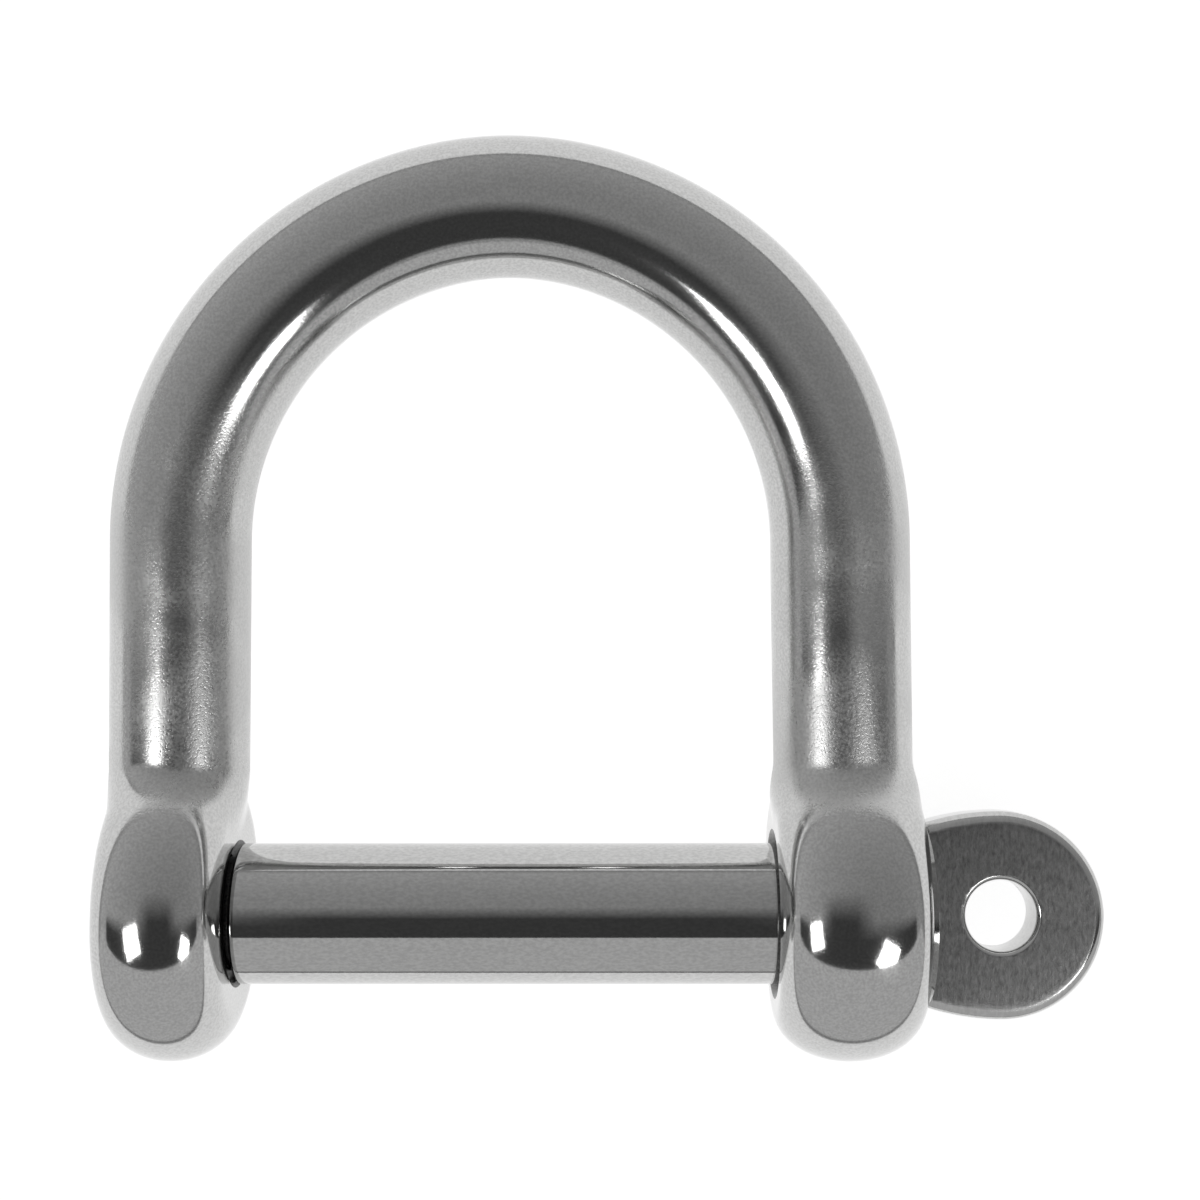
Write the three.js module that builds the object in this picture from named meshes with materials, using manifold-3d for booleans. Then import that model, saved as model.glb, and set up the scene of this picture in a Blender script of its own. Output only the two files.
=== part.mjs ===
// A screw-pin dee shackle in polished stainless steel: a D-shaped bow forged from round bar with an eye
// at each end, and a pin that passes through the plain eye and screws into the tapped one.
// Millimetres. The shackle lies on a flat surface: the rims of its two eyes and its crown touch z = 0.
// X runs along the pin, from the tapped eye towards the pin's head, and Y from the pin towards the crown.
import * as THREE from 'three';
import { mergeVertices } from 'three/addons/utils/BufferGeometryUtils.js';
import Module from 'manifold-3d';

const wasm = await Module();
wasm.setup();

// ---- driving dimensions ----
const BAR_D = 10; // the round bar that the bow is bent from
const PIN_D = 10;
const INSIDE = 40.4; // clear length from the pin to the crown
const EYE_SPACING = 47.9; // between the middles of the two eyes
const LEG_SPACING = 47; // between the legs' centrelines where the bend ends; below it they spread a little
const EYE_D = 20.7;
const EYE_REACH = 11.5; // how far an eye reaches up its leg from the pin's axis
const TAPPED_EYE_T = 8.7; // thickness along the pin
const PLAIN_EYE_T = 10.4;
const EYE_FLAT_D = 14; // the flat on each side of an eye, inside its rounded rim
const CROWN_BEND_R = 21.5; // centreline radius over the crown, a little tighter than the shoulders
const CROWN_ANGLE = THREE.MathUtils.degToRad(12); // how far that radius runs to each side of the top
const NECK_BLEND = 1.8; // how softly an eye flows into its leg
const HOLE_D = 11; // the plain eye's clearance hole
const HOLE_CHAMFER = 0.5;
const PITCH = 1.5;
const THREAD_MAJOR_D = 9.8;
const THREAD_MINOR_D = 8.1;
const THREAD_CREST = 0.2; // the crest's width along the pin
const THREAD_GAP = 0.3; // clearance between a crest and the root that faces it
const SEAT_GAP = 0.3; // gap between faces that seat on each other
const COLLAR_D = 13;
const COLLAR_T = 0.6;
const EDGE_CHAMFER = 0.25; // on the shank's shoulder, the collar and the pin's tip
const HEAD_R = 7.4;
const HEAD_T = 4;
const HEAD_X = 34.8; // centre of the head's rounded end
const HEAD_EDGE = 0.9; // rounding of the head's edges
const HEAD_SWEEP = THREE.MathUtils.degToRad(100); // how far the round end runs to each side of its far point
const HEAD_TURN = THREE.MathUtils.degToRad(-6); // where the head stops once the pin is screwed home
const HEAD_HOLE_D = 5;
const HEAD_HOLE_MOUTH_D = 6;

// ---- how finely round shapes are divided ----
const BAR_SIDES = 28;
const HOLE_SIDES = 40;
const STEPS_PER_TURN = 20;

// ---- worked out from the above ----
const BAR_R = BAR_D / 2;
const PIN_R = PIN_D / 2;
const EYE_R = EYE_D / 2;
const EYE_FLAT_R = EYE_FLAT_D / 2;
const EYE_X = EYE_SPACING / 2;
const TAPPED_INNER_X = TAPPED_EYE_T / 2 - EYE_X;
const PLAIN_INNER_X = EYE_X - PLAIN_EYE_T / 2;
const PLAIN_OUTER_X = EYE_X + PLAIN_EYE_T / 2;
const LEG_TOP_X = LEG_SPACING / 2;
const CROWN_Y = PIN_R + INSIDE + BAR_R; // the bar's centreline at the top of the crown
const SHOULDER_BEND_R = (LEG_TOP_X - CROWN_BEND_R * Math.sin(CROWN_ANGLE)) / (1 - Math.sin(CROWN_ANGLE));
const CROWN_DROP = CROWN_BEND_R * (1 - Math.cos(CROWN_ANGLE)); // from its top down to where its radius ends
const LEG_TOP_Y = CROWN_Y - CROWN_DROP - SHOULDER_BEND_R * Math.cos(CROWN_ANGLE);
const NECK_TOP_Y = EYE_R + BAR_R; // above this the leg is plain round bar
const LEAN = Math.asin((EYE_R - BAR_R) / CROWN_Y); // the crown lies lower than the pin
const THREAD_MAJOR_R = THREAD_MAJOR_D / 2;
const THREAD_MINOR_R = THREAD_MINOR_D / 2;
const TIP_X = -EYE_X - TAPPED_EYE_T / 2; // flush with the tapped eye's outer face
const COLLAR_X = PLAIN_OUTER_X + SEAT_GAP;

// ---- solids ----

function toManifold(geometry) {
  const bare = geometry.clone();
  bare.deleteAttribute('normal');
  bare.deleteAttribute('uv');
  const merged = mergeVertices(bare, 1e-5);
  return new wasm.Manifold(new wasm.Mesh({
    numProp: 3,
    vertProperties: new Float32Array(merged.attributes.position.array),
    triVerts: new Uint32Array(merged.index.array),
  }));
}

function toGeometry(solid) {
  const mesh = solid.getMesh();
  const geometry = new THREE.BufferGeometry();
  geometry.setAttribute('position', new THREE.BufferAttribute(new Float32Array(mesh.vertProperties), 3));
  geometry.setIndex(new THREE.BufferAttribute(new Uint32Array(mesh.triVerts), 1));
  geometry.computeVertexNormals();
  return geometry;
}

// A closed skin over a row of rings with equal numbers of points. Each end is closed by a fan
// to its own centre point.
function loft(rings, firstCentre, lastCentre) {
  const sides = rings[0].length;
  const points = [...rings.flat(), firstCentre, lastCentre];
  const first = points.length - 2;
  const last = points.length - 1;
  const lastRing = (rings.length - 1) * sides;
  const triangles = [];
  for (let side = 0; side < sides; side++) {
    const next = (side + 1) % sides;
    for (let ring = 0; ring < rings.length - 1; ring++) {
      const here = ring * sides;
      const above = here + sides;
      triangles.push(here + side, here + next, above + next, here + side, above + next, above + side);
    }
    triangles.push(first, next, side, last, lastRing + side, lastRing + next);
  }
  const geometry = new THREE.BufferGeometry().setFromPoints(points);
  geometry.setIndex(triangles);
  return geometry;
}

// A solid of revolution about the X axis, from [x, radius] pairs that start and end on the axis.
function turned(profile, sides) {
  const outline = profile.map(([x, radius]) => new THREE.Vector2(radius, x));
  return toManifold(new THREE.LatheGeometry(outline, sides).rotateZ(-Math.PI / 2));
}

// ---- bow ----

// In an eye and its leg, x is measured outwards from the middle of the eye.

// The leg's centreline, which leans inwards from the eye to the bend.
function legX(y) {
  return (LEG_TOP_X - EYE_X) * Math.max(y, 0) / LEG_TOP_Y;
}

// Below zero inside the round bar of a leg, which ends in a half ball inside the eye.
function legField(x, y, z) {
  const below = Math.max(EYE_R - y, 0);
  return ((x - legX(y)) ** 2 + z * z + below * below) / (BAR_R * BAR_R) - 1;
}

// Below zero inside an eye: a thick disc, flat on both sides, with a fully rounded rim. It is drawn out
// a little towards its leg.
function eyeField(x, y, z, thickness) {
  const height = y > 0 ? y * EYE_R / EYE_REACH : y;
  const rim = Math.max(Math.hypot(height, z) - EYE_FLAT_R, 0) / (EYE_R - EYE_FLAT_R);
  return (2 * x / thickness) ** 2 + rim * rim - 1;
}

// The leg and the eye joined with a soft fillet. Half the bar's radius turns both fields into
// something close to a distance.
function legAndEyeField(x, y, z, thickness) {
  const leg = legField(x, y, z) * BAR_R / 2;
  const eye = eyeField(x, y, z, thickness) * BAR_R / 2;
  const overlap = Math.max(NECK_BLEND - Math.abs(leg - eye), 0) / NECK_BLEND;
  return Math.min(leg, eye) - overlap * overlap * NECK_BLEND / 4;
}

// Distance from the middle of the bar to its skin in one direction, at height y.
function reach(angle, y, thickness) {
  let inner = 0;
  let outer = EYE_R + BAR_R;
  for (let halving = 0; halving < 40; halving++) {
    const middle = (inner + outer) / 2;
    const x = legX(y) + middle * Math.cos(angle);
    const inside = legAndEyeField(x, y, middle * Math.sin(angle), thickness) < 0;
    if (inside) inner = middle;
    else outer = middle;
  }
  return inner;
}

function angles() {
  return Array.from({ length: BAR_SIDES }, (_, side) => 2 * Math.PI * side / BAR_SIDES);
}

// Heights of the rings from the bottom of the eye to the top of its neck, closer together on the rim.
function eyeHeights() {
  const steps = (count) => Array.from({ length: count }, (_, step) => (step + 1) / count);
  const rim = steps(9).map((share) => -EYE_R * Math.cos(Math.PI / 2 * share));
  const neck = steps(8).map((share) => NECK_TOP_Y * share);
  return [...rim, ...neck];
}

// Rings of an eye and its neck at the foot of the left leg, from the bottom up.
function eyeRings(thickness) {
  return eyeHeights().map((y) => angles().map((angle) => {
    const radius = reach(angle, y, thickness);
    return new THREE.Vector3(-EYE_X - legX(y) - radius * Math.cos(angle), y, radius * Math.sin(angle));
  }));
}

// A point on the bar's centreline, and the direction to the outside of the bend. The turn runs
// from 0 at the top of the left leg to PI at the top of the right one.
function bend(turn) {
  const outward = new THREE.Vector3(-Math.cos(turn), Math.sin(turn), 0);
  const fromTop = Math.abs(turn - Math.PI / 2);
  if (fromTop <= CROWN_ANGLE) {
    const middle = new THREE.Vector3(0, CROWN_Y - CROWN_BEND_R, 0);
    return { outward, centre: middle.addScaledVector(outward, CROWN_BEND_R) };
  }
  const sideX = Math.sign(turn - Math.PI / 2) * (LEG_TOP_X - SHOULDER_BEND_R);
  const middle = new THREE.Vector3(sideX, LEG_TOP_Y, 0);
  return { outward, centre: middle.addScaledVector(outward, SHOULDER_BEND_R) };
}

function bendRings() {
  const steps = 26;
  return Array.from({ length: steps + 1 }, (_, step) => {
    const turn = Math.PI * step / steps;
    const { outward, centre } = bend(turn);
    return angles().map((angle) => centre.clone()
      .addScaledVector(outward, BAR_R * Math.cos(angle))
      .add(new THREE.Vector3(0, 0, BAR_R * Math.sin(angle))));
  });
}

function mirroredRings(rings) {
  return rings.map((ring) => ring.map((point) => new THREE.Vector3(-point.x, point.y, point.z))).reverse();
}

function bowBlank() {
  const tapped = eyeRings(TAPPED_EYE_T);
  const plain = mirroredRings(eyeRings(PLAIN_EYE_T));
  const bottom = new THREE.Vector3(-EYE_X, -EYE_R, 0);
  const otherBottom = new THREE.Vector3(EYE_X, -EYE_R, 0);
  return toManifold(loft([...tapped, ...bendRings(), ...plain], bottom, otherBottom));
}

// The plain eye's hole, opened out at both mouths.
function clearanceHole() {
  const radius = HOLE_D / 2;
  const mouth = radius + HOLE_CHAMFER;
  return turned([
    [PLAIN_INNER_X - 1, 0],
    [PLAIN_INNER_X - 1, mouth],
    [PLAIN_INNER_X, mouth],
    [PLAIN_INNER_X + HOLE_CHAMFER, radius],
    [PLAIN_OUTER_X - HOLE_CHAMFER, radius],
    [PLAIN_OUTER_X, mouth],
    [PLAIN_OUTER_X + 1, mouth],
    [PLAIN_OUTER_X + 1, 0],
  ], HOLE_SIDES);
}

// ---- screw thread ----

// A helical ridge about the X axis that stands on a core of the given radius. The pin's ridge and the
// groove that is cut for it share one helix, and the groove is deeper by the clearance.
function threadRidge(coreR, crestR, fromX, turns) {
  const flank = Math.tan(Math.PI / 6);
  const base = THREAD_CREST + 2 * flank * (crestR - coreR);
  const sunk = 0.25; // how deep the ridge's foot reaches into the core
  const steps = Math.round(turns * STEPS_PER_TURN);
  const runOut = STEPS_PER_TURN / 4; // the ridge fades away over a quarter turn at each end
  const section = (step) => {
    const turn = 2 * Math.PI * step / STEPS_PER_TURN;
    const x = fromX + PITCH * step / STEPS_PER_TURN;
    const height = (crestR - coreR) * Math.min(1, (step + 0.4) / runOut, (steps - step + 0.4) / runOut);
    return [
      [x - base / 2, coreR - sunk],
      [x - base / 2, coreR],
      [x - THREAD_CREST / 2, coreR + height],
      [x + THREAD_CREST / 2, coreR + height],
      [x + base / 2, coreR],
      [x + base / 2, coreR - sunk],
    ].map(([along, radius]) => new THREE.Vector3(along, radius * Math.cos(turn), radius * Math.sin(turn)));
  };
  const rings = Array.from({ length: steps + 1 }, (_, step) => section(step).reverse());
  const total = (ring) => ring.reduce((sum, point) => sum.add(point), new THREE.Vector3());
  const middle = (ring) => total(ring).divideScalar(ring.length);
  return toManifold(loft(rings, middle(rings[0]), middle(rings[steps])));
}

function tappedHole() {
  const core = THREAD_MINOR_R + THREAD_GAP;
  const mouth = THREAD_MAJOR_R + THREAD_GAP + 0.1;
  const chamfer = mouth - core;
  const drilled = turned([
    [TIP_X - 1, 0],
    [TIP_X - 1, mouth],
    [TIP_X, mouth],
    [TIP_X + chamfer, core],
    [TAPPED_INNER_X - chamfer, core],
    [TAPPED_INNER_X, mouth],
    [TAPPED_INNER_X + 1, mouth],
    [TAPPED_INNER_X + 1, 0],
  ], HOLE_SIDES);
  const turns = TAPPED_EYE_T / PITCH + 2;
  return drilled.add(threadRidge(core, THREAD_MAJOR_R + THREAD_GAP, TIP_X - PITCH, turns));
}

function bow() {
  return bowBlank().subtract(clearanceHole()).subtract(tappedHole());
}

// ---- screw pin ----

function shank() {
  const shoulderX = TAPPED_INNER_X + SEAT_GAP;
  const collarEnd = COLLAR_X + COLLAR_T;
  return turned([
    [TIP_X, 0],
    [TIP_X, THREAD_MINOR_R - EDGE_CHAMFER],
    [TIP_X + EDGE_CHAMFER, THREAD_MINOR_R],
    [shoulderX, THREAD_MINOR_R],
    [shoulderX, PIN_R - EDGE_CHAMFER],
    [shoulderX + EDGE_CHAMFER, PIN_R],
    [COLLAR_X, PIN_R],
    [COLLAR_X, COLLAR_D / 2 - EDGE_CHAMFER],
    [COLLAR_X + EDGE_CHAMFER, COLLAR_D / 2],
    [collarEnd - EDGE_CHAMFER, COLLAR_D / 2],
    [collarEnd, COLLAR_D / 2 - EDGE_CHAMFER],
    [collarEnd, 0],
  ], HOLE_SIDES);
}

function pinThread() {
  const turns = TAPPED_EYE_T / PITCH - 1;
  return threadRidge(THREAD_MINOR_R, THREAD_MAJOR_R, TIP_X + PITCH, turns);
}

// The flat eye that the pin is turned by: a rounded plate that springs from the collar.
function headPlate() {
  const rootX = COLLAR_X + HEAD_EDGE + 0.1;
  const rootY = COLLAR_D / 2 - HEAD_EDGE - 0.1;
  const radius = HEAD_R - HEAD_EDGE;
  const outline = new THREE.Shape();
  outline.moveTo(rootX, rootY);
  outline.lineTo(rootX, -rootY);
  outline.absarc(HEAD_X, 0, radius, -HEAD_SWEEP, HEAD_SWEEP);
  const plate = new THREE.ExtrudeGeometry(outline, {
    depth: HEAD_T - 2 * HEAD_EDGE,
    curveSegments: 28,
    bevelThickness: HEAD_EDGE,
    bevelSize: HEAD_EDGE,
    bevelSegments: 3,
  });
  return toManifold(plate.translate(0, 0, HEAD_EDGE - HEAD_T / 2));
}

function headHole() {
  const radius = HEAD_HOLE_D / 2;
  const mouth = HEAD_HOLE_MOUTH_D / 2;
  const top = HEAD_T / 2;
  const profile = [
    [0, -top - 1],
    [mouth, -top - 1],
    [mouth, -top],
    [radius, mouth - radius - top],
    [radius, top - mouth + radius],
    [mouth, top],
    [mouth, top + 1],
    [0, top + 1],
  ];
  const geometry = new THREE.LatheGeometry(profile.map(([r, z]) => new THREE.Vector2(r, z)), 32);
  return toManifold(geometry.rotateX(Math.PI / 2).translate(HEAD_X, 0, 0));
}

function screwPin() {
  const head = headPlate().subtract(headHole()).rotate(THREE.MathUtils.radToDeg(HEAD_TURN), 0, 0);
  return shank().add(pinThread()).add(head);
}

// ---- assembly ----

const polishedSteel = new THREE.MeshStandardMaterial({ color: 0xb4b4b2, roughness: 0.12, metalness: 1 });
const brightSteel = new THREE.MeshStandardMaterial({ color: 0xa9a9a8, roughness: 0.16, metalness: 1 });

function part(name, solid, material) {
  const mesh = new THREE.Mesh(toGeometry(solid), material);
  mesh.name = name;
  return mesh;
}

const lying = new THREE.Group();
lying.rotation.x = -LEAN;
lying.add(part('bow', bow(), polishedSteel), part('screw_pin', screwPin(), brightSteel));

const shackle = new THREE.Group();
shackle.add(lying);

// The origin is the middle of the shackle's footprint, on the surface that it lies on.
const bounds = new THREE.Box3().setFromObject(shackle, true);
const middle = bounds.getCenter(new THREE.Vector3());
lying.position.set(-middle.x, -middle.y, -bounds.min.z);

export default shackle;
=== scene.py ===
"""Looks of the screw-pin dee shackle: polished stainless steel lying on a white floor.

Lengths are in millimetres in the shackle's own frame: X runs along the pin from the tapped eye to the
head, Y from the pin to the crown, Z out of the shackle's plane. PLACE carries them into the row frame.
"""
import math

import bpy
import numpy as np
from mathutils import Matrix, Vector


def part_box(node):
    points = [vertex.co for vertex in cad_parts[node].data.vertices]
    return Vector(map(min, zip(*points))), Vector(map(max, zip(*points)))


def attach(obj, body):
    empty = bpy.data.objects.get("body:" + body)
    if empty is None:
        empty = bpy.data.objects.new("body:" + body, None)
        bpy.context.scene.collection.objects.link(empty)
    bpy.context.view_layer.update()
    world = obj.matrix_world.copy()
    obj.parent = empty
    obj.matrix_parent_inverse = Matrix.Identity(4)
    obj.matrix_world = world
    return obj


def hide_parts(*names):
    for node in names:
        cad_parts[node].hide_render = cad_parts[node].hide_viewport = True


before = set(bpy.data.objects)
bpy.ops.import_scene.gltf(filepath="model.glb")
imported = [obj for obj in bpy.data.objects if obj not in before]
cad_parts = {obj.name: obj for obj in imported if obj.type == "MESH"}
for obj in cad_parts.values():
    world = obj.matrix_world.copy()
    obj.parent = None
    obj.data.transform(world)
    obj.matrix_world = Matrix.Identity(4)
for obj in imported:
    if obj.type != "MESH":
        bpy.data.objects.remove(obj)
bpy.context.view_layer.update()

# ---- the shackle's dimensions ----
BAR_R = 5
PIN_R = 5
INSIDE = 40.4  # clear length from the pin to the crown
EYE_X = 23.95  # middle of each eye
LEG_TOP_X = 23.5  # the legs' centrelines where the bend starts
EYE_R = 10.35
EYE_REACH = 11.5  # how far an eye reaches up its leg
TAPPED_EYE_T = 8.7
PLAIN_EYE_T = 10.4
EYE_FLAT_R = 7  # the flat on each side of an eye, inside its rounded rim
CROWN_BEND_R = 21.5
CROWN_ANGLE = math.radians(12)  # how far that radius runs to each side of the top
NECK_BLEND = 1.8  # how softly an eye flows into its leg
HOLE_R = 5.5
HOLE_MOUTH = 0.8
PITCH = 1.5
THREAD_MAJOR_R = 4.9
THREAD_MINOR_R = 4.05
THREAD_GAP = 0.3
SEAT_GAP = 0.12
SHOULDER_EDGE = 0.35
COLLAR_SEAT_R = 6.26
COLLAR_END_R = 6.404
COLLAR_R = 6.5  # the root's radius where it leaves the collar
COLLAR_T = 0.3
ROOT_L = 0.3  # length of the root that joins the collar to the flat head
ROOT_BLEND = 0.8
HEAD_R = 7.4
HEAD_HALF_T = 2
HEAD_X = 34.8  # centre of the head's round end
HEAD_EDGE = 0.9
HEAD_TURN = math.radians(-6)  # where the head stops once the pin is screwed home
HEAD_HOLE_R = 2.5
HEAD_HOLE_MOUTH = 0.5

# ---- worked out from the above ----
CROWN_Y = PIN_R + INSIDE + BAR_R
SHOULDER_BEND_R = (LEG_TOP_X - CROWN_BEND_R * math.sin(CROWN_ANGLE)) / (1 - math.sin(CROWN_ANGLE))
CROWN_DROP = CROWN_BEND_R * (1 - math.cos(CROWN_ANGLE))
LEG_TOP_Y = CROWN_Y - CROWN_DROP - SHOULDER_BEND_R * math.cos(CROWN_ANGLE)
NECK_TOP_Y = EYE_R + BAR_R
LEAN = math.asin((EYE_R - BAR_R) / CROWN_Y)  # the crown lies lower than the pin
TAPPED_INNER_X = TAPPED_EYE_T / 2 - EYE_X
PLAIN_INNER_X = EYE_X - PLAIN_EYE_T / 2
PLAIN_OUTER_X = EYE_X + PLAIN_EYE_T / 2
TIP_X = -EYE_X - TAPPED_EYE_T / 2
SHOULDER_X = TAPPED_INNER_X + SEAT_GAP
COLLAR_X = PLAIN_OUTER_X + SEAT_GAP
COLLAR_END_X = COLLAR_X + COLLAR_T
HEAD_END_X = HEAD_X + HEAD_R

# ---- how finely the skins are divided ----
BAR_SIDES = 192
PIN_SIDES = 192
HOLE_SIDES = 128
RIM_RINGS = 48
NECK_RINGS = 56
LEG_RINGS = 10
BEND_RINGS = 145
HALVINGS = 36
INSET = 0.058  # keeps the smooth skins inside the CAD model's box
OVERRUN = 1  # how far a cutter runs past the surface that it opens

# ---- the finish, in metres ----
BUMP_DEPTH = 0.00002
LEG_FEET = (-0.0145, -0.0125)  # where the worn finish fades in, up the row's Y
LEG_TOPS = (0.004, 0.022)  # where it fades out

# ---- the studio: places in millimetres, sizes of lamps and floor in metres ----
VIEW_TILT = 0.0379
VIEW_TURN = -0.0076
VIEW_ROLL = 0.0017
VIEW_FROM = Vector((6.37, 22.53, 127.08))
LENS = 36 * 1766 / 1200
FLOOR_R = 0.42
FLOOR_GLOW = 0.76
DARK = 0.06
LAMP_SIZE = 0.042
LAMP_TARGET = Vector((0, 22, 0))


def row_frame():
    """The shackle's own frame, in millimetres, placed in the row frame, in metres."""
    metre = 0.001
    tip_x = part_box("screw_pin")[0].x
    bottom_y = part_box("bow")[0].y
    pin = Vector((tip_x - TIP_X * metre, bottom_y + EYE_R * metre, EYE_R * metre))
    return Matrix.Translation(pin) @ Matrix.Rotation(-LEAN, 4, "X") @ Matrix.Scale(metre, 4)


PLACE = row_frame()


# ---- meshes ----


def loft(name, rings, first, last):
    """A closed skin over rings with equal numbers of points. Each end is a fan to its own point."""
    count, sides = len(rings), len(rings[0])
    points = np.vstack([np.concatenate(rings), [first], [last]])
    here = np.arange(sides)
    after = (here + 1) % sides
    faces = []
    for ring_index in range(count - 1):
        low = ring_index * sides
        high = low + sides
        faces += np.stack([low + here, low + after, high + after, high + here], 1).tolist()
    end = (count - 1) * sides
    faces += [[count * sides, b, a] for a, b in zip(here.tolist(), after.tolist())]
    faces += [[count * sides + 1, end + a, end + b] for a, b in zip(here.tolist(), after.tolist())]
    mesh = bpy.data.meshes.new(name)
    mesh.from_pydata(points.tolist(), [], faces)
    mesh.validate()
    piece = bpy.data.objects.new(name, mesh)
    bpy.context.scene.collection.objects.link(piece)
    face_outwards(piece)
    return piece


def face_outwards(piece):
    """Turns the faces outwards if they point inwards."""
    points = np.array([v.co for v in piece.data.vertices])
    volume = 0
    for face in piece.data.polygons:
        corners = points[list(face.vertices)]
        for b, c in zip(corners[1:-1], corners[2:]):
            volume += np.dot(corners[0], np.cross(b, c))
    if volume < 0:
        piece.data.flip_normals()


def angles(sides):
    return 2 * np.pi * np.arange(sides) / sides


def around(sides):
    """Directions round a circle: cosines and sines."""
    return np.cos(angles(sides)), np.sin(angles(sides))


def ring(x, radius, sides):
    """Points round the X axis. radius is one number, or one for each direction."""
    c, s = around(sides)
    return np.stack([np.full(sides, x), radius * c, radius * s], 1)


def reach(field, across, up, far):
    """How far a skin lies from the middle, in each direction across and up. field is below zero inside."""
    inner = np.zeros(across.shape)
    outer = np.full(across.shape, float(far))
    for _ in range(HALVINGS):
        middle = (inner + outer) / 2
        inside = field(middle * across, middle * up) < 0
        inner = np.where(inside, middle, inner)
        outer = np.where(inside, outer, middle)
    return inner


def soft_union(a, b, width):
    """The lower of two fields, with a fillet where they are nearly equal."""
    overlap = np.maximum(width - np.abs(a - b), 0) / width
    return np.minimum(a, b) - overlap * overlap * width / 4


def turned(name, profile, sides):
    """A solid of revolution about X, from (x, radius) pairs. Its ends are flat."""
    rings = [ring(x, radius, sides) for x, radius in profile]
    return loft(name, rings, (profile[0][0], 0, 0), (profile[-1][0], 0, 0))


def cut(piece, cutter):
    """Takes the cutter out of the piece, and removes the cutter."""
    modifier = piece.modifiers.new("cut", "BOOLEAN")
    modifier.operation = "DIFFERENCE"
    modifier.solver = "EXACT"
    modifier.object = cutter
    graph = bpy.context.evaluated_depsgraph_get()
    result = bpy.data.meshes.new_from_object(piece.evaluated_get(graph))
    piece.modifiers.clear()
    piece.data = result
    bpy.data.objects.remove(cutter)


def finish_piece(piece, node):
    """Shades a piece smoothly except at its sharp edges, places it, and lets it stand for its CAD node."""
    piece.data.transform(PLACE)
    piece.data.shade_smooth()
    piece.data.set_sharp_from_angle(angle=math.radians(32))
    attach(piece, node)
    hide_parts(node)
    return piece


# ---- bow ----


def leg_x(y):
    """The leg's centreline, measured outwards from the middle of its eye."""
    return (LEG_TOP_X - EYE_X) * np.maximum(y, 0) / LEG_TOP_Y


def leg_and_eye(x, y, z, thickness):
    """Below zero inside an eye or the foot of its leg, with x measured outwards from the eye's middle."""
    below = np.maximum(EYE_R - y, 0)
    leg = ((x - leg_x(y)) ** 2 + z * z + below * below) / BAR_R ** 2 - 1
    height = y * EYE_R / EYE_REACH if y > 0 else y
    rim = np.maximum(np.hypot(height, z) - EYE_FLAT_R, 0) / (EYE_R - EYE_FLAT_R)
    eye = (2 * x / thickness) ** 2 + rim * rim - 1
    return soft_union(leg * BAR_R / 2, eye * BAR_R / 2, NECK_BLEND)


def leg_ring(y, radius):
    """A ring round the left leg's centreline."""
    c, s = around(BAR_SIDES)
    return np.stack([-EYE_X - leg_x(y) - radius * c, np.full(BAR_SIDES, y), radius * s], 1)


def eye_rings(thickness):
    """Rings of the left eye and its neck, from the bottom up."""
    rim = -EYE_R * np.cos(np.pi / 2 * (np.arange(RIM_RINGS) + 0.5) / RIM_RINGS)
    neck = NECK_TOP_Y * (np.arange(NECK_RINGS) + 1) / NECK_RINGS
    rings = []
    for y in [*rim, *neck]:
        def field(across, up):
            return leg_and_eye(leg_x(y) + across, y, up, thickness)
        rings.append(leg_ring(y, reach(field, *around(BAR_SIDES), NECK_TOP_Y) - INSET))
    return rings


def leg_rings():
    """Rings of the left leg between its neck and the first ring of the bend."""
    heights = np.linspace(NECK_TOP_Y, LEG_TOP_Y, LEG_RINGS + 2)[1:-1]
    return [leg_ring(y, BAR_R - INSET) for y in heights]


def bend_rings():
    """Rings of the two shoulders and the crown, from the left leg to the right one."""
    c, s = around(BAR_SIDES)
    radius = BAR_R - INSET
    rings = []
    for turn in np.linspace(0, np.pi, BEND_RINGS):
        outward = np.array([-math.cos(turn), math.sin(turn), 0])
        if abs(turn - np.pi / 2) <= CROWN_ANGLE:
            centre = np.array([0, CROWN_Y - CROWN_BEND_R, 0]) + CROWN_BEND_R * outward
        else:
            side = np.sign(turn - np.pi / 2) * (LEG_TOP_X - SHOULDER_BEND_R)
            centre = np.array([side, LEG_TOP_Y, 0]) + SHOULDER_BEND_R * outward
        rings.append(centre + np.outer(radius * c, outward) + np.outer(radius * s, (0, 0, 1)))
    return rings


def mirrored(rings):
    return [points * (-1, 1, 1) for points in reversed(rings)]


def rounded_hole(name, start, end, radius, mouth):
    """The cutter for a round hole through a plate, with its mouths rounded outwards."""
    turns = np.linspace(0, np.pi / 2, 7)
    entry = [(start + mouth * (1 - math.cos(t)), radius + mouth * (1 - math.sin(t))) for t in turns]
    leave = [(start + end - x, r) for x, r in reversed(entry)]
    wide = radius + mouth
    return turned(name, [(start - OVERRUN, wide), *entry, *leave, (end + OVERRUN, wide)], HOLE_SIDES)


def thread_radius(x, turn, minor, major):
    """Radius of a right-hand thread at x and angle turn, with slightly rounded crests and roots."""
    phase = (x / PITCH - turn / (2 * np.pi)) % 1
    flank = np.clip((np.abs(phase - 0.5) * 2 - 0.2) / 0.65, 0, 1)
    rounded = flank * flank * (3 - 2 * flank)
    return minor + (major - minor) * (0.35 * rounded + 0.65 * flank)


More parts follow.
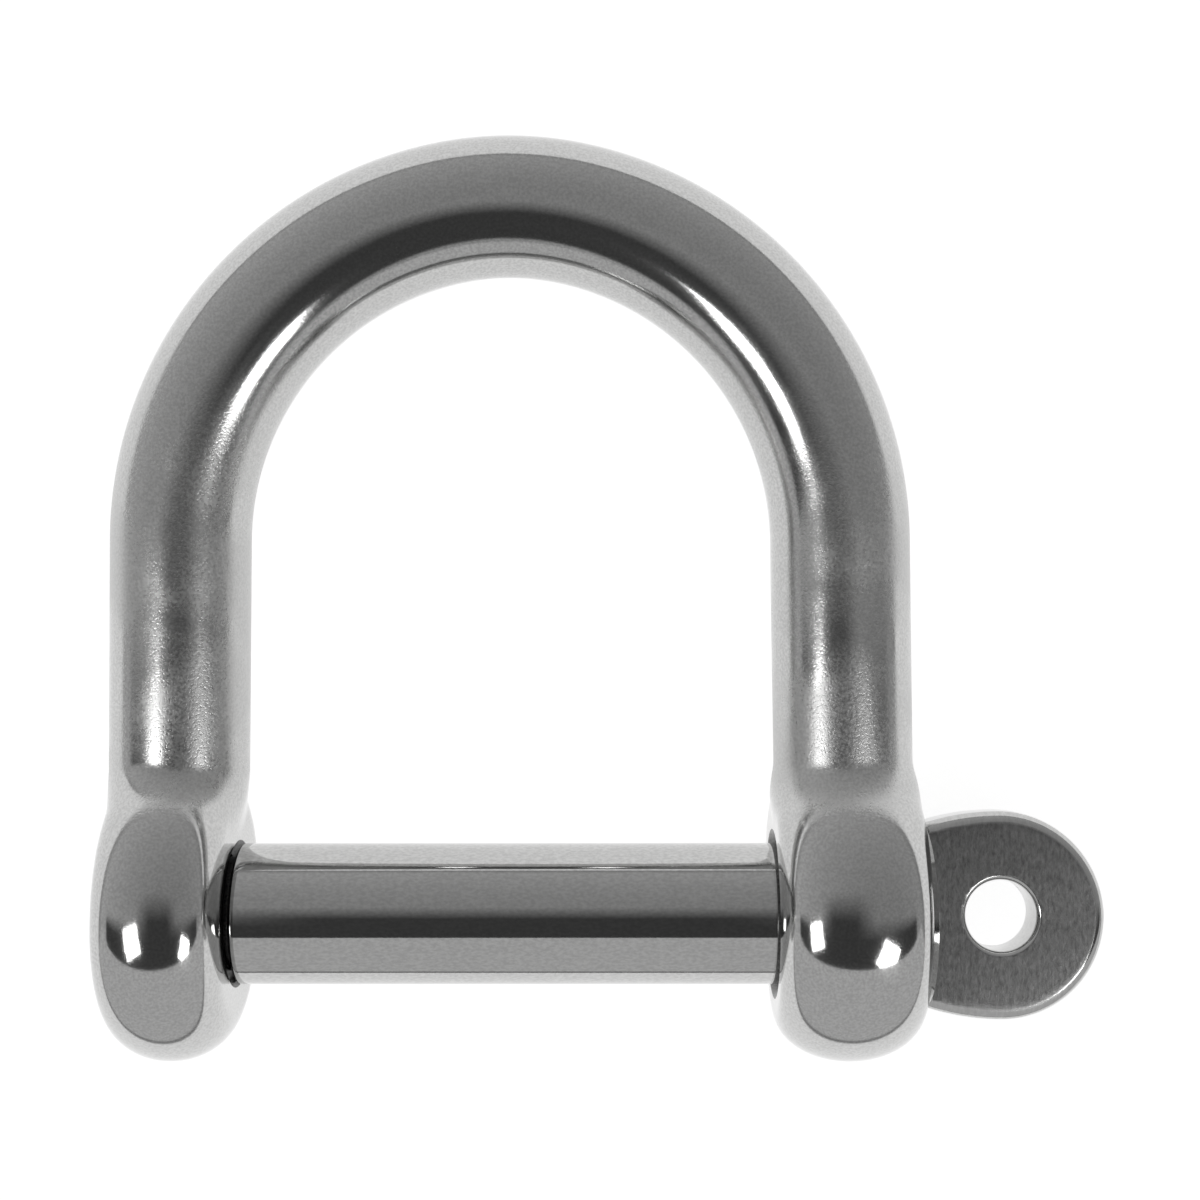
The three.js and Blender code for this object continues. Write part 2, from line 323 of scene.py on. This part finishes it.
def tapped_hole():
    """The cutter for the tapped eye's hole: a threaded rod that widens at both mouths."""
    minor = THREAD_MINOR_R + THREAD_GAP
    major = THREAD_MAJOR_R + THREAD_GAP
    mouth = major + 0.1
    rings = []
    for x in np.arange(TIP_X - OVERRUN, TAPPED_INNER_X + OVERRUN + 0.001, PITCH / 20):
        depth = min(x - TIP_X, TAPPED_INNER_X - x)
        thread = thread_radius(x, angles(HOLE_SIDES), minor, major)
        rings.append(ring(x, np.maximum(thread, mouth - max(depth, 0)), HOLE_SIDES))
    return loft("tapped_hole", rings, (rings[0][0][0], 0, 0), (rings[-1][0][0], 0, 0))


def paint_shade_in_bores(bow):
    """Gives the holes' walls the second material: rough steel tinted nearly black, which is painted shade
    in the bores.
    """
    for face in bow.data.polygons:
        from_axis = math.hypot(face.center.y, face.center.z)
        if from_axis < HOLE_R + HOLE_MOUTH and abs(face.normal.x) < 0.95:
            face.material_index = 1


def make_bow(steel, bore):
    tapped = eye_rings(TAPPED_EYE_T) + leg_rings()
    plain = mirrored(eye_rings(PLAIN_EYE_T) + leg_rings())
    bottom = (-EYE_X, -EYE_R + INSET, 0)
    other_bottom = (EYE_X, -EYE_R + INSET, 0)
    bow = loft("polished_bow", [*tapped, *bend_rings(), *plain], bottom, other_bottom)
    cut(bow, rounded_hole("plain_hole", PLAIN_INNER_X, PLAIN_OUTER_X, HOLE_R, HOLE_MOUTH))
    cut(bow, tapped_hole())
    bow.data.materials.append(steel)
    bow.data.materials.append(bore)
    paint_shade_in_bores(bow)
    return finish_piece(bow, "bow")


# ---- screw pin ----


def head_half_width(x):
    """Half the flat head's width: it widens smoothly from the collar to its round end."""
    to_end = np.clip((HEAD_X - x) / (HEAD_X - COLLAR_X), 0, 1)
    return HEAD_R - (HEAD_R - COLLAR_R) * to_end ** 2


def head_field(x, y, z):
    """Below zero inside the flat head or the root that joins it to the collar."""
    if x < HEAD_X:
        side = np.abs(y) - head_half_width(x)
    else:
        side = np.hypot(x - HEAD_X, y) - HEAD_R
    beside = side + HEAD_EDGE
    above = np.abs(z) - HEAD_HALF_T + HEAD_EDGE
    plate = np.hypot(np.maximum(beside, 0), np.maximum(above, 0)) + np.minimum(np.maximum(beside, above), 0)
    along = np.clip((x - COLLAR_END_X) / ROOT_L, 0, 1.5)
    root_r = COLLAR_R - (COLLAR_R - HEAD_HALF_T) * along ** 0.6
    root = np.hypot(y, z) - root_r
    return soft_union(plate - HEAD_EDGE, root, ROOT_BLEND)


def head_ring(x):
    """A ring of the head or its root, with its points gathered towards the flat head's edges."""
    c, s = around(PIN_SIDES)
    flatness = min(1, (x - COLLAR_END_X) / ROOT_L)
    up = s * (1 - 0.66 * flatness)
    length = np.hypot(c, up)
    across, up = c / length, up / length
    radius = reach(lambda y, z: head_field(x, y, z), across, up, HEAD_R + 1) - INSET
    y, z = radius * across, radius * up
    turned_y = y * math.cos(HEAD_TURN) - z * math.sin(HEAD_TURN)
    turned_z = y * math.sin(HEAD_TURN) + z * math.cos(HEAD_TURN)
    return np.stack([np.full(PIN_SIDES, x), turned_y, turned_z], 1)


def head_rings():
    """Rings of the collar and the head, from the collar's seat to just short of the head's far end."""
    steps = np.linspace(0, 1, 5)
    radii = COLLAR_SEAT_R + (COLLAR_END_R - COLLAR_SEAT_R) * steps
    collar = [ring(x, radius, PIN_SIDES) for x, radius in zip(COLLAR_X + COLLAR_T * steps, radii)]
    root = COLLAR_END_X + ROOT_L * np.linspace(0, 1, 36)[1:] ** 1.5
    plate = np.linspace(COLLAR_END_X + ROOT_L, HEAD_X, 16)[1:]
    end = HEAD_X + HEAD_R * np.sin(np.pi / 2 * np.linspace(0, 1, 72)[1:-1])
    return [*collar, *(head_ring(x) for x in [*root, *plate, *end])]


def thread_rings():
    """Rings of the pin's thread, which starts behind a chamfered tip and runs out before the shoulder."""
    turn = angles(PIN_SIDES)
    rings = []
    for x in np.arange(TIP_X + 0.02, SHOULDER_X - 0.05, PITCH / 24):
        height = np.clip(min((x - TIP_X - 0.4) / 0.8, (SHOULDER_X - x - 0.8) / PITCH), 0, 1)
        major = THREAD_MINOR_R + (THREAD_MAJOR_R - THREAD_MINOR_R) * height
        chamfer = THREAD_MINOR_R - 0.5 + (x - TIP_X)
        radius = np.minimum(thread_radius(x, turn, THREAD_MINOR_R, major), chamfer)
        rings.append(ring(x, radius, PIN_SIDES))
    return rings


def shank_rings():
    """Rings from the pin's tip to the collar's seat: the thread, the rounded shoulder and the shank."""
    profile = [(SHOULDER_X, THREAD_MINOR_R)]
    for step in np.linspace(0, np.pi / 2, 6):
        x = SHOULDER_X + SHOULDER_EDGE * (1 - math.cos(step))
        profile.append((x, PIN_R - SHOULDER_EDGE * (1 - math.sin(step))))
    profile += [(x, PIN_R) for x in np.linspace(SHOULDER_X + 0.5, COLLAR_X, 40)]
    tip = ring(TIP_X + 0.001, THREAD_MINOR_R - 0.6, PIN_SIDES)
    return [tip, *thread_rings(), *(ring(x, radius, PIN_SIDES) for x, radius in profile)]


def lanyard_hole():
    """The cutter for the hole through the head, square to its flats."""
    hole = rounded_hole("lanyard_hole", -HEAD_HALF_T, HEAD_HALF_T, HEAD_HOLE_R, HEAD_HOLE_MOUTH)
    upright = Matrix.Rotation(math.radians(-90), 4, "Y")
    hole.data.transform(Matrix.Rotation(HEAD_TURN, 4, "X") @ Matrix.Translation((HEAD_X, 0, 0)) @ upright)
    return hole


def brush_head_and_paint_flats_dark(pin):
    """Gives the head the second material, whose flats have a brush grain and a dark tint that is a painted
    reflection of dark surroundings.
    """
    for face in pin.data.polygons:
        if face.center.x > COLLAR_END_X:
            face.material_index = 1


def make_pin(steel, head):
    start = (TIP_X + 0.001, 0, 0)
    end = (HEAD_END_X - INSET, 0, 0)
    pin = loft("polished_screw_pin", [*shank_rings(), *head_rings()], start, end)
    cut(pin, lanyard_hole())
    pin.data.materials.append(steel)
    pin.data.materials.append(head)
    brush_head_and_paint_flats_dark(pin)
    return finish_piece(pin, "screw_pin")


# ---- materials ----


class Nodes:
    """A short way to add linked shader nodes to one material or world."""

    def __init__(self, tree):
        self.tree = tree
        self.tree.nodes.clear()

    def add(self, kind, **settings):
        node = self.tree.nodes.new(kind)
        for name, value in settings.items():
            setattr(node, name, value)
        return node

    def join(self, output, socket):
        self.tree.links.new(output, socket)


def new_material(name):
    """An empty node material: the material, its nodes and its output's surface socket."""
    material = bpy.data.materials.new(name)
    material.use_nodes = True
    nodes = Nodes(material.node_tree)
    output = nodes.add("ShaderNodeOutputMaterial")
    return material, nodes, output.inputs["Surface"]


def noise(nodes, place, scale, detail=3, roughness=0.5):
    node = nodes.add("ShaderNodeTexNoise")
    node.inputs["Scale"].default_value = scale
    node.inputs["Detail"].default_value = detail
    node.inputs["Roughness"].default_value = roughness
    nodes.join(place, node.inputs["Vector"])
    return node.outputs["Fac"]


def spread(nodes, value, low, high, to_low=0.0, to_high=1.0):
    """Maps a value from one range to another, clamped."""
    node = nodes.add("ShaderNodeMapRange")
    sockets = ("From Min", "From Max", "To Min", "To Max")
    for socket, number in zip(sockets, (low, high, to_low, to_high)):
        node.inputs[socket].default_value = number
    nodes.join(value, node.inputs["Value"])
    return node.outputs["Result"]


def separate(nodes, vector):
    """The X, Y and Z parts of a vector."""
    node = nodes.add("ShaderNodeSeparateXYZ")
    nodes.join(vector, node.inputs["Vector"])
    return node.outputs


def colour_input(node, name):
    """A Mix node has a socket of the same name for each kind of value."""
    return next(socket for socket in node.inputs if socket.name == name and socket.type == "RGBA")


def colour_output(node):
    return next(socket for socket in node.outputs if socket.type == "RGBA")


def ramp(nodes, value, dark, light):
    """A colour between two greys."""
    node = nodes.add("ShaderNodeMix", data_type="RGBA")
    colour_input(node, "A").default_value = (*dark, 1)
    colour_input(node, "B").default_value = (*light, 1)
    nodes.join(value, node.inputs["Factor"])
    return colour_output(node)


def math_node(nodes, operation, first, second):
    """One arithmetic step on two outputs or numbers."""
    node = nodes.add("ShaderNodeMath", operation=operation)
    for socket, value in zip(node.inputs, (first, second)):
        if isinstance(value, (int, float)):
            socket.default_value = value
        else:
            nodes.join(value, socket)
    return node.outputs["Value"]


def facing(nodes, direction):
    """1 where the surface faces along a direction or against it, and 0 elsewhere."""
    coordinates = nodes.add("ShaderNodeTexCoord")
    product = nodes.add("ShaderNodeVectorMath", operation="DOT_PRODUCT")
    product.inputs[1].default_value = direction
    nodes.join(coordinates.outputs["Normal"], product.inputs[0])
    return spread(nodes, math_node(nodes, "ABSOLUTE", product.outputs["Value"], 0), 0.975, 0.995)


def start_metal(name, stretch):
    """A bare metal material: its nodes, its shader, and stretched positions on the object."""
    material, nodes, surface = new_material(name)
    shader = nodes.add("ShaderNodeBsdfPrincipled")
    nodes.join(shader.outputs["BSDF"], surface)
    shader.inputs["Metallic"].default_value = 1
    coordinates = nodes.add("ShaderNodeTexCoord")
    mapping = nodes.add("ShaderNodeMapping")
    mapping.inputs["Scale"].default_value = stretch
    nodes.join(coordinates.outputs["Object"], mapping.inputs["Vector"])
    return material, nodes, shader, mapping.outputs["Vector"]


def press_in(nodes, shader, depth, strength):
    """Bumps the surface inwards by a small depth."""
    bump = nodes.add("ShaderNodeBump", invert=True)
    bump.inputs["Strength"].default_value = strength
    bump.inputs["Distance"].default_value = BUMP_DEPTH
    nodes.join(depth, bump.inputs["Height"])
    nodes.join(bump.outputs["Normal"], shader.inputs["Normal"])


def worn_patches(nodes, place):
    """0 where the polish is whole and 1 where it is dull and pitted, which is only on the legs."""
    height = separate(nodes, place)["Y"]
    below_top = spread(nodes, height, *LEG_TOPS, 1, 0)
    above_eye = spread(nodes, height, *LEG_FEET, 0, 1)
    on_legs = math_node(nodes, "MULTIPLY", below_top, above_eye)
    patches = spread(nodes, noise(nodes, place, 110, detail=4), 0.3, 0.54)
    return math_node(nodes, "MULTIPLY", patches, on_legs)


def steel_material(name, stretch, tints, gloss, grain):
    """Stainless steel with worn patches, fine specks and pits. tints are its darkest and lightest colour,
    gloss is the roughness where it is polished and where it is worn, and grain is the pits' strength."""
    material, nodes, shader, place = start_metal(name, stretch)
    worn = worn_patches(nodes, place)
    specks = noise(nodes, place, 5200, detail=2)
    nodes.join(ramp(nodes, spread(nodes, specks, 0.35, 0.65), *tints), shader.inputs["Base Color"])
    dullness = math_node(nodes, "MULTIPLY", worn, spread(nodes, specks, 0.2, 0.7, 0.5, 1))
    nodes.join(spread(nodes, dullness, 0, 1, *gloss), shader.inputs["Roughness"])
    pits = spread(nodes, noise(nodes, place, 6400, detail=1), 0.52, 0.72)
    depth = math_node(nodes, "MULTIPLY", pits, spread(nodes, worn, 0, 1, 0.08, 1))
    press_in(nodes, shader, depth, grain)
    return material


def grey(value):
    """A steel colour: grey, a trace warmer than neutral."""
    return (value, value, value * 0.992)


def polished_steel():
    return steel_material("polished_steel", (1, 1, 1), (grey(0.46), grey(0.56)), (0.1, 0.42), 0.3)


def pin_steel():
    return steel_material("pin_steel", (0.6, 1, 1), (grey(0.46), grey(0.55)), (0.06, 0.16), 0.1)


# Rough steel tinted nearly black: the tint is painted shade on the holes' walls.
def bore_steel_painted_shade():
    return steel_material("bore_steel_painted_shade", (1, 1, 1), (grey(0.05), grey(0.14)), (0.3, 0.5), 0.6)


def head_steel_painted_dark_flats():
    """Polished edges round two flats with a fine brush grain across the pin. The flats are also tinted
    dark: a painted reflection of dark surroundings.
    """
    material, nodes, shader, place = start_metal("head_steel_painted_dark_flats", (1.7, 0.7, 0.7))
    flat = (PLACE.to_3x3() @ Vector((0, -math.sin(HEAD_TURN), math.cos(HEAD_TURN)))).normalized()
    brushed_and_painted_dark = facing(nodes, flat)
    grain = spread(nodes, noise(nodes, place, 2400, detail=5, roughness=0.7), 0.3, 0.7)
    tint = nodes.add("ShaderNodeMix", data_type="RGBA")
    nodes.join(brushed_and_painted_dark, tint.inputs["Factor"])
    nodes.join(ramp(nodes, grain, grey(0.46), grey(0.56)), colour_input(tint, "A"))
    # The flats' colour: a brush grain over a dark tint, which is a painted reflection.
    nodes.join(ramp(nodes, grain, grey(0.12), grey(0.26)), colour_input(tint, "B"))
    nodes.join(colour_output(tint), shader.inputs["Base Color"])
    nodes.join(spread(nodes, brushed_and_painted_dark, 0, 1, 0.12, 0.36), shader.inputs["Roughness"])
    press_in(nodes, shader, math_node(nodes, "MULTIPLY", grain, brushed_and_painted_dark), 0.35)
    return material


# ---- studio ----


def floor():
    """A round white sheet that the shackle lies on."""
    bpy.ops.mesh.primitive_circle_add(vertices=96, radius=FLOOR_R, fill_type="NGON", location=(0, 0, 0))
    sheet = bpy.context.object
    sheet.name = "floor"
    material = bpy.data.materials.new("white_sheet")
    material.use_nodes = True
    shader = material.node_tree.nodes["Principled BSDF"]
    shader.inputs["Base Color"].default_value = (0.8, 0.8, 0.8, 1)
    shader.inputs["Roughness"].default_value = 0.9
    shader.inputs["Specular IOR Level"].default_value = 0.1
    shader.inputs["Emission Color"].default_value = (1, 1, 1, 1)
    shader.inputs["Emission Strength"].default_value = FLOOR_GLOW
    sheet.data.materials.append(material)


def fade_to_edges(nodes, half_width, half_height, soft):
    """1 over a card's middle, falling to 0 over the last stretch before its edges."""
    parts = separate(nodes, nodes.add("ShaderNodeTexCoord").outputs["Object"])
    fades = []
    for part, half in ((parts["X"], half_width), (parts["Y"], half_height)):
        fades.append(spread(nodes, math_node(nodes, "ABSOLUTE", part, 0), half - soft, half, 1, 0))
    return math_node(nodes, "MULTIPLY", *fades)


def card_material(name, brightness, half_width, half_height, soft):
    """An even glow, which fades out towards the card's edges if soft isn't 0."""
    material, nodes, surface = new_material(name)
    emission = nodes.add("ShaderNodeEmission")
    emission.inputs["Color"].default_value = (brightness, brightness, brightness, 1)
    if soft == 0:
        nodes.join(emission.outputs["Emission"], surface)
        return material
    clear = nodes.add("ShaderNodeBsdfTransparent")
    mix = nodes.add("ShaderNodeMixShader")
    nodes.join(fade_to_edges(nodes, half_width, half_height, soft), mix.inputs["Fac"])
    nodes.join(clear.outputs["BSDF"], mix.inputs[1])
    nodes.join(emission.outputs["Emission"], mix.inputs[2])
    nodes.join(mix.outputs["Shader"], surface)
    return material


def reflected_card(name, brightness, centre, target, width, height, soft=0):
    """A flat card that only the steel's reflections show. It looks from its centre towards target, and
    width runs along X. Lengths are in millimetres, and its edges fade out over the length soft."""
    width, height, soft = width / 1000, height / 1000, soft / 1000
    bpy.ops.mesh.primitive_plane_add(size=1)
    card = bpy.context.object
    card.name = name
    start = PLACE @ Vector(centre)
    towards = (PLACE @ Vector(target) - start).normalized()
    across = (PLACE.to_3x3() @ Vector((1, 0, 0))).normalized()
    turn = Matrix((across, towards.cross(across), towards)).transposed().to_4x4()
    card.data.transform(Matrix.Diagonal((width, height, 1, 1)))
    card.matrix_world = Matrix.Translation(start) @ turn
    card.data.materials.append(card_material(name, brightness, width / 2, height / 2, soft))
    card.visible_camera = False
    card.visible_diffuse = False
    card.visible_shadow = False


def reflected_cards():
    """Dark cards over the shackle and in front of it, and a pale one that leans in over the pin."""
    reflected_card("dark_overhead", DARK, (-5, -15, 135), (-5, -15, 0), 150, 135, soft=45)
    reflected_card("dark_front_ceiling", DARK, (0, -97, 134), (0, -97, 0), 900, 210, soft=30)
    reflected_card("pale_front_wall", 0.6, (0, -30, 13.5), (0, 3, -18.5), 400, 46)
    reflected_card("dark_front_edge", 0.25, (0, -44, -2.5), (0, 0, -2.5), 400, 3)


def lamp(name, centre, power):
    """A small square light that looks at the middle of the shackle and shows only as a highlight in it."""
    light = bpy.data.lights.new(name, "AREA")
    light.energy = power
    light.size = LAMP_SIZE
    piece = bpy.data.objects.new(name, light)
    bpy.context.scene.collection.objects.link(piece)
    start = PLACE @ Vector(centre)
    towards = PLACE @ LAMP_TARGET - start
    piece.matrix_world = Matrix.Translation(start) @ towards.to_track_quat("-Z", "Y").to_matrix().to_4x4()
    piece.visible_diffuse = False


def studio_world():
    """Soft grey surroundings: lighter low down than overhead, darker at the horizon and towards +X."""
    world = bpy.data.worlds.new("studio")
    bpy.context.scene.world = world
    world.use_nodes = True
    nodes = Nodes(world.node_tree)
    output = nodes.add("ShaderNodeOutputWorld")
    background = nodes.add("ShaderNodeBackground")
    nodes.join(background.outputs["Background"], output.inputs["Surface"])
    direction = separate(nodes, nodes.add("ShaderNodeTexCoord").outputs["Generated"])
    height = spread(nodes, direction["Z"], 0.05, 0.9, 0.6, 0.42)
    side = math_node(nodes, "MULTIPLY", direction["X"], -0.1)
    horizon = spread(nodes, direction["Z"], 0, 0.08, 0.7, 1)
    brightness = math_node(nodes, "MULTIPLY", math_node(nodes, "ADD", height, side), horizon)
    nodes.join(brightness, background.inputs["Strength"])


def camera():
    """The camera stands over the shackle, slightly to the crown's side of upright."""
    roll = Matrix.Rotation(VIEW_ROLL, 4, "Z")
    tilt = roll @ Matrix.Rotation(VIEW_TURN, 4, "Y") @ Matrix.Rotation(VIEW_TILT, 4, "X")
    data = bpy.data.cameras.new("camera")
    data.lens = LENS
    data.clip_start = 0.005
    data.clip_end = 10
    piece = bpy.data.objects.new("camera", data)
    bpy.context.scene.collection.objects.link(piece)
    view = PLACE @ tilt.transposed() @ Matrix.Translation(VIEW_FROM)
    piece.matrix_world = Matrix.LocRotScale(view.translation, view.to_quaternion(), None)
    bpy.context.scene.camera = piece


camera()
studio_world()
floor()
reflected_cards()
lamp("window_left", (-80, -22, 110), 0.042)
lamp("window_right", (90, -46, 105), 0.046)
bpy.context.scene.view_settings.view_transform = "Standard"

bow = make_bow(polished_steel(), bore_steel_painted_shade())
pin = make_pin(pin_steel(), head_steel_painted_dark_flats())
